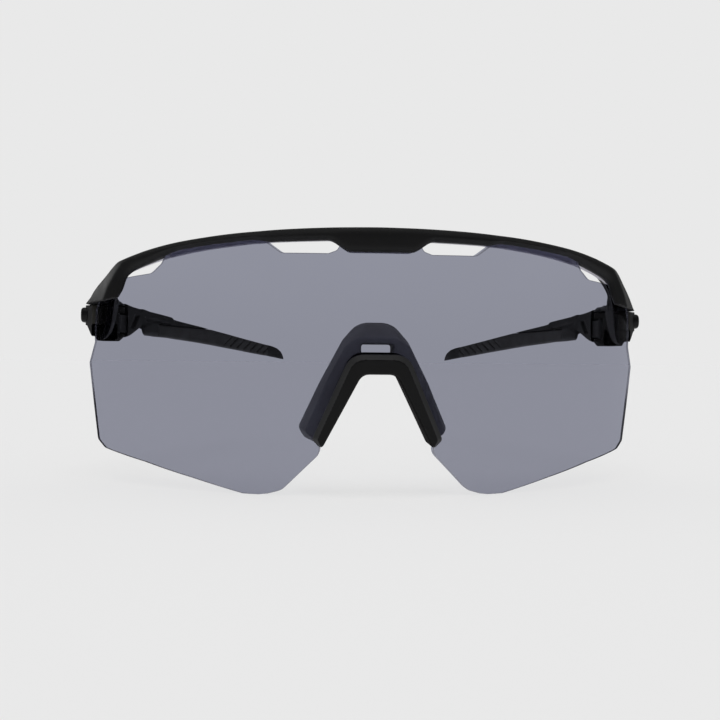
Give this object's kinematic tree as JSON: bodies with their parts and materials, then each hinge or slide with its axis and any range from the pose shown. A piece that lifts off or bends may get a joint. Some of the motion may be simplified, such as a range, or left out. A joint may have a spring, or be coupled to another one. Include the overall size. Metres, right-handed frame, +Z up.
{
  "type": "sport sunglasses",
  "caption": "Half-rim wraparound sport sunglasses: curved grey shield lens, black front frame with vents, clip-on nosepiece and folding arms with rubber grips.",
  "frame": {"origin": "middle of the nosepiece's flat saddle, where the glasses rest on the wearer's nose", "axes": "+Y backwards along the line of sight towards the wearer's ears, +Z up, +X across the face towards the right in a front view"},
  "size_m": [0.1406, 0.1687, 0.0583],
  "materials": {
    "frame_nylon": "matte black moulded nylon",
    "arm_nylon": "matte black moulded nylon",
    "clip_nylon": "satin black nylon",
    "lens": "clear grey polycarbonate",
    "nose_rubber": "soft dark grey rubber",
    "grip_rubber": "soft ribbed rubber",
    "cap_plastic": "blank satin black cap",
    "steel": "stainless screw",
    "brass": "machined insert",
    "acetal": "black acetal"
  },
  "bodies": {
    "front": {"front_frame": "frame_nylon", "shield_lens": "lens", "nosepiece_clip": "clip_nylon", "nose_pad": "nose_rubber", "hinge_block_left": "frame_nylon", "hinge_block_right": "frame_nylon", "hinge_cap_left": "cap_plastic", "hinge_cap_right": "cap_plastic", "hinge_screw_left": "steel", "hinge_screw_right": "steel", "hinge_nut_left": "brass", "hinge_nut_right": "brass", "hinge_washer_lower_left": "acetal", "hinge_washer_lower_right": "acetal", "hinge_washer_upper_left": "acetal", "hinge_washer_upper_right": "acetal"},
    "temple_left": {"temple_arm_left": "arm_nylon", "temple_grip_left": "grip_rubber", "hinge_bush_left": "acetal"},
    "temple_right": {"temple_arm_right": "arm_nylon", "temple_grip_right": "grip_rubber", "hinge_bush_right": "acetal"}
  },
  "joints": [
    {"name": "temple_left_fold", "type": "hinge", "parent": "front", "child": "temple_left", "pos_m": [-0.0646, 0.036, 0.01165], "axis": [0, 0, -1], "range_deg": [-11.3, 75]},
    {"name": "temple_right_fold", "type": "hinge", "parent": "front", "child": "temple_right", "pos_m": [0.0646, 0.036, 0.01165], "axis": [0, 0, 1], "range_deg": [-1.7, 75]}
  ]
}
